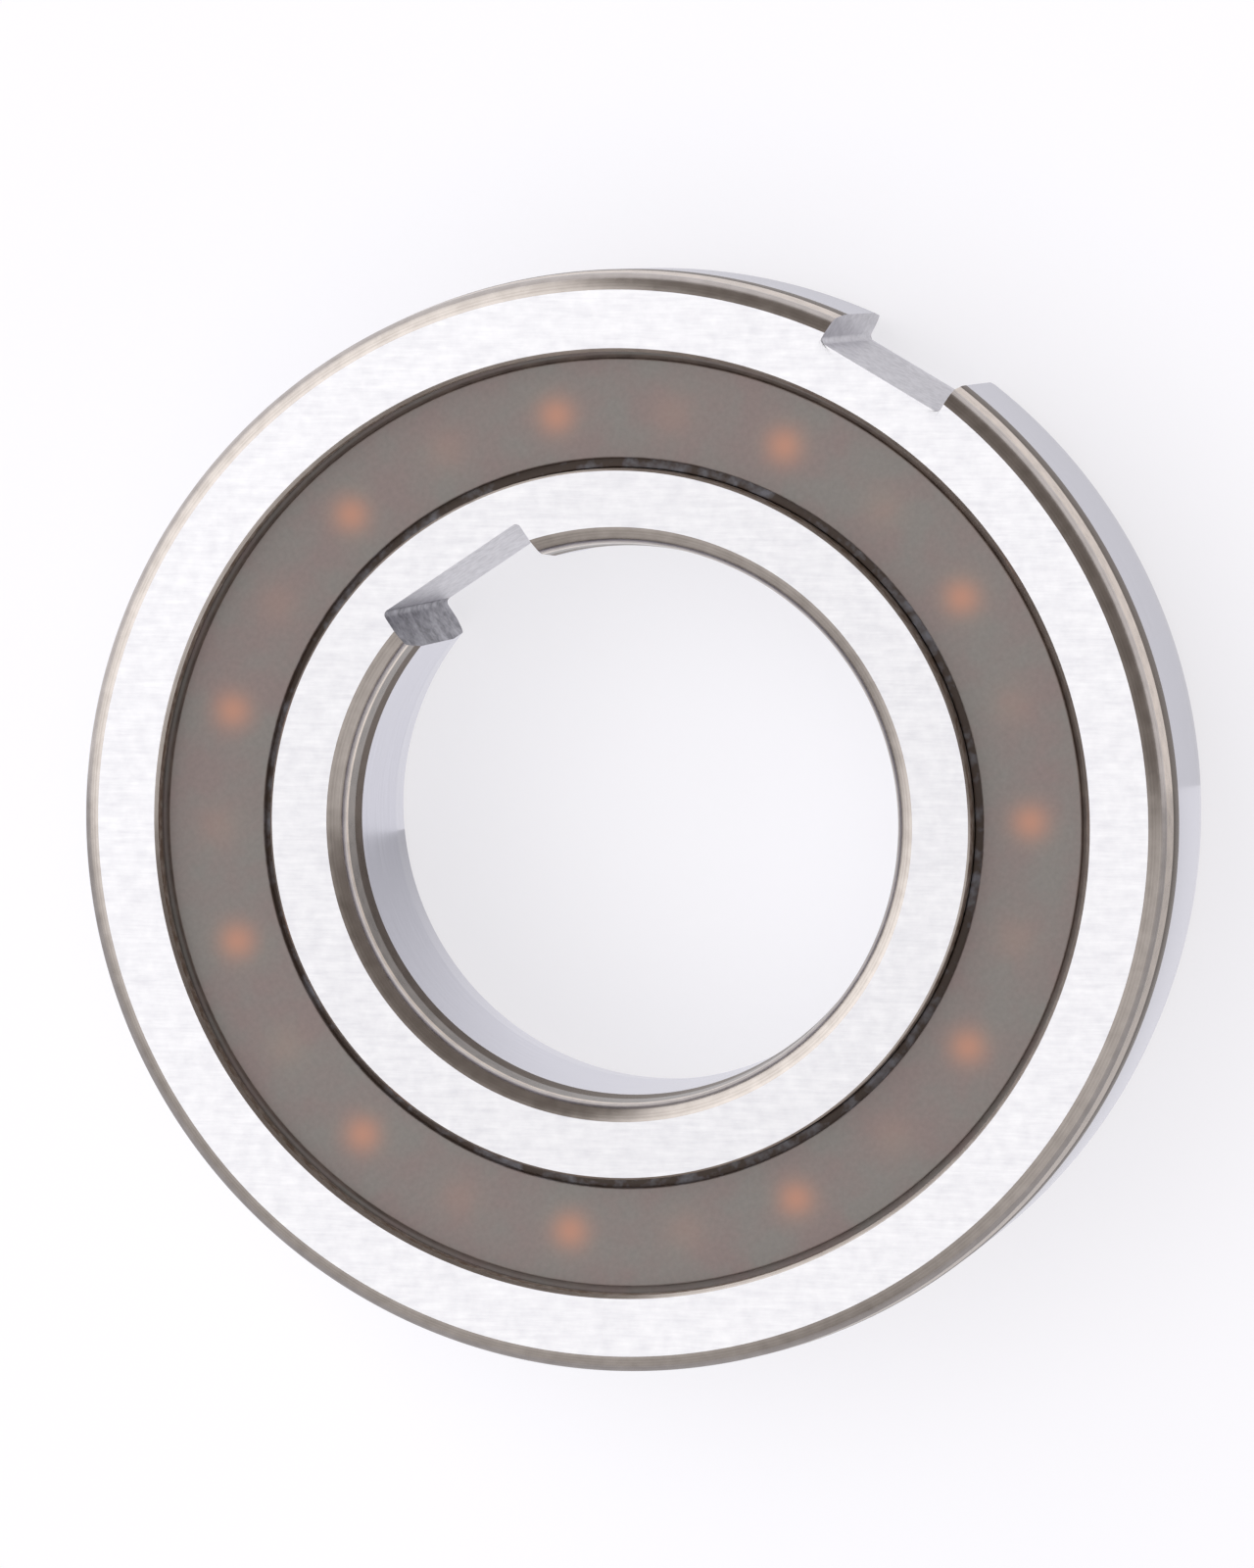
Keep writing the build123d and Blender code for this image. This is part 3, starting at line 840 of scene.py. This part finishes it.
def studio_floor():
    """Pale floor that keeps a soft shadow. Much of what the eye sees of it is its own even white,
    and much of what the pieces see of it is pale and grey cards that lie on it. Outside the ring
    they meet on a line above the middle: a pale one up from it, and down from it one that darkens
    away from the ring. In the bore they meet on a line below the middle: a pale one up from it,
    and one that darkens towards it. Under the rings the floor is even. From below it is clear, so
    the rear of the clutch can be looked at."""
    height = cad_box[0][2] - FLOOR_GAP
    mesh = bpy.data.meshes.new("floor")
    mesh.from_pydata([(x, y, height) for x, y in FLOOR_REACH * np.array(
        [(-1, -1), (1, -1), (1, 1), (-1, 1)])], [], [(0, 1, 2, 3)])
    floor = link("floor", mesh)
    material, tree, place = new_material("studio_paper")
    above = add(tree, "VectorMath", {"operation": "DOT_PRODUCT"}, _0=place,
                _1=tuple(VIEW_UP)).outputs["Value"]
    flat = add(tree, "VectorMath", {"operation": "MULTIPLY"}, _0=place, _1=(1, 1, 0)).outputs[0]
    radius = add(tree, "VectorMath", {"operation": "LENGTH"}, _0=flat).outputs["Value"]

    upper = add(tree, "Math", {"operation": "GREATER_THAN"}, _0=above, _1=2 * MM).outputs[0]
    lower_card = add(tree, "MapRange", {"interpolation_type": "SMOOTHSTEP"}, value=radius,
                     from_min=43 * MM, from_max=46.6 * MM, to_min=1.2, to_max=0.42).outputs[0]
    outside = add(tree, "Mix", {"data_type": "FLOAT"}, _0=upper, _2=lower_card,
                  _3=0.93).outputs[0]
    upper = add(tree, "Math", {"operation": "GREATER_THAN"}, _0=above, _1=-2 * MM).outputs[0]
    lower_card = add(tree, "MapRange", value=above, from_min=-16 * MM, from_max=-3 * MM,
                     to_min=1.2, to_max=0.68).outputs[0]
    inside = add(tree, "Mix", {"data_type": "FLOAT"}, _0=upper, _2=lower_card, _3=1.18).outputs[0]

    ring_middle, ring_half = (BORE_R + OUTER_R) / 2, (OUTER_R - BORE_R) / 2
    in_bore = add(tree, "Math", {"operation": "LESS_THAN"}, _0=radius, _1=ring_middle).outputs[0]
    under = add(tree, "Math", {"operation": "COMPARE"}, _0=radius, _1=ring_middle,
                _2=ring_half - UNDER_MARGIN).outputs[0]
    level = add(tree, "Mix", {"data_type": "FLOAT"}, _0=in_bore, _2=outside,
                _3=inside).outputs[0]
    level = add(tree, "Mix", {"data_type": "FLOAT"}, _0=under, _2=level, _3=1.1).outputs[0]

    path = add(tree, "LightPath")
    eye = add(tree, "Math", {"operation": "MULTIPLY"}, _0=path.outputs["Is Camera Ray"],
              _1=EYE_SHARE).outputs[0]
    piece = add(tree, "Math", {"operation": "MAXIMUM"}, _0=path.outputs["Is Glossy Ray"],
                _1=path.outputs["Is Diffuse Ray"]).outputs[0]
    piece = add(tree, "Math", {"operation": "MULTIPLY"}, _0=piece, _1=PIECE_SHARE).outputs[0]
    paper = add(tree, "BsdfDiffuse", color=linear("#EEEEF5"))
    white = add(tree, "Emission", color=linear("#FDFCFF"), strength=FLOOR_WHITE)
    cards = add(tree, "Emission", color=linear("#FDFCFF"), strength=level)
    shown = add(tree, "MixShader", _0=eye, _1=paper.outputs[0], _2=white.outputs[0])
    shown = add(tree, "MixShader", _0=piece, _1=shown.outputs[0], _2=cards.outputs[0])
    back = add(tree, "NewGeometry").outputs["Backfacing"]
    clear = add(tree, "BsdfTransparent")
    both = add(tree, "MixShader", _0=back, _1=shown.outputs[0], _2=clear.outputs[0])
    finish_material(tree, both)
    mesh.materials.append(material)


def studio_light():
    """Soft tent: a wide bright ceiling panel, a pale wall up and to the left of the camera's
    view, grey cards low on its left and right, and dim warm cloth everywhere else."""
    world = bpy.data.worlds.new("studio_tent")
    bpy.context.scene.world = world
    world.use_nodes = True
    tree = world.node_tree
    tree.nodes.clear()
    way = add(tree, "TexCoord").outputs["Generated"]

    def panel(towards, soft_edge_deg, strength):
        """Round panel of light seen in a direction. Its soft edge runs between two angles off
        that direction, the outer one first."""
        fade_out, fade_in = np.cos(np.radians(soft_edge_deg))
        near = add(tree, "VectorMath", {"operation": "DOT_PRODUCT"}, _0=way,
                   _1=tuple(towards.normalized())).outputs["Value"]
        return add(tree, "MapRange", {"interpolation_type": "SMOOTHSTEP"}, value=near,
                   from_min=fade_out, from_max=fade_in, to_min=0, to_max=strength).outputs[0]

    def cut(light, towards):
        """Leaves only the part of a panel that lies towards a side of the axis."""
        side = add(tree, "VectorMath", {"operation": "DOT_PRODUCT"}, _0=way,
                   _1=tuple(towards)).outputs["Value"]
        edge = add(tree, "MapRange", value=side, from_min=0, from_max=0.06).outputs[0]
        return add(tree, "Math", {"operation": "MULTIPLY"}, _0=light, _1=edge).outputs[0]

    up = Vector((0, 0, 1))
    light = panel(up - 0.05 * VIEW_UP - 0.15 * VIEW_RIGHT, soft_edge_deg=(42, 26), strength=1.42)
    wall = panel(0.35 * up + 0.62 * VIEW_UP - 0.79 * VIEW_RIGHT, soft_edge_deg=(66, 20),
                 strength=1.32)
    left_card = panel(0.35 * up - 0.87 * VIEW_UP - 0.5 * VIEW_RIGHT, soft_edge_deg=(55, 5),
                      strength=0.38)
    right_card = panel(0.35 * up - 0.42 * VIEW_UP + 0.91 * VIEW_RIGHT, soft_edge_deg=(55, 5),
                       strength=0.55)
    for part in (cut(wall, -0.24 * VIEW_UP - 0.97 * VIEW_RIGHT), left_card,
                 cut(right_card, -VIEW_UP)):
        light = add(tree, "Math", {"operation": "ADD"}, _0=light, _1=part).outputs[0]
    lamps = add(tree, "Background", color=(1, 1, 1, 1), strength=light)
    cloth = add(tree, "Background", color=linear("#FFF2EA"), strength=CLOTH_LEVEL)
    lit = add(tree, "AddShader", _0=lamps.outputs[0], _1=cloth.outputs[0])
    path = add(tree, "LightPath").outputs["Is Camera Ray"]
    plain = add(tree, "Background", color=(1, 1, 1, 1), strength=1.0)
    both = add(tree, "MixShader", _0=path, _1=lit.outputs[0], _2=plain.outputs[0])
    output = tree.nodes.new("ShaderNodeOutputWorld")
    tree.links.new(both.outputs[0], output.inputs["Surface"])


def studio_camera():
    """Long lens, almost square on to the front face."""
    lens = bpy.data.cameras.new("camera")
    lens.lens = CAMERA_LENS_MM
    lens.sensor_width = CAMERA_SENSOR_MM
    lens.shift_x, lens.shift_y = CAMERA_SHIFT
    lens.clip_start = 0.01
    lens.clip_end = 20
    camera = bpy.data.objects.new("camera", lens)
    bpy.context.scene.collection.objects.link(camera)
    back = TO_CAMERA
    right = VIEW_UP.cross(back).normalized()
    up = back.cross(right)
    turned = Matrix((right, up, back)).transposed().to_4x4()
    camera.matrix_world = Matrix.Translation(CAMERA_DISTANCE * back) @ turned
    bpy.context.scene.camera = camera


studio_floor()
studio_light()
studio_camera()
bpy.context.scene.view_settings.view_transform = "Standard"
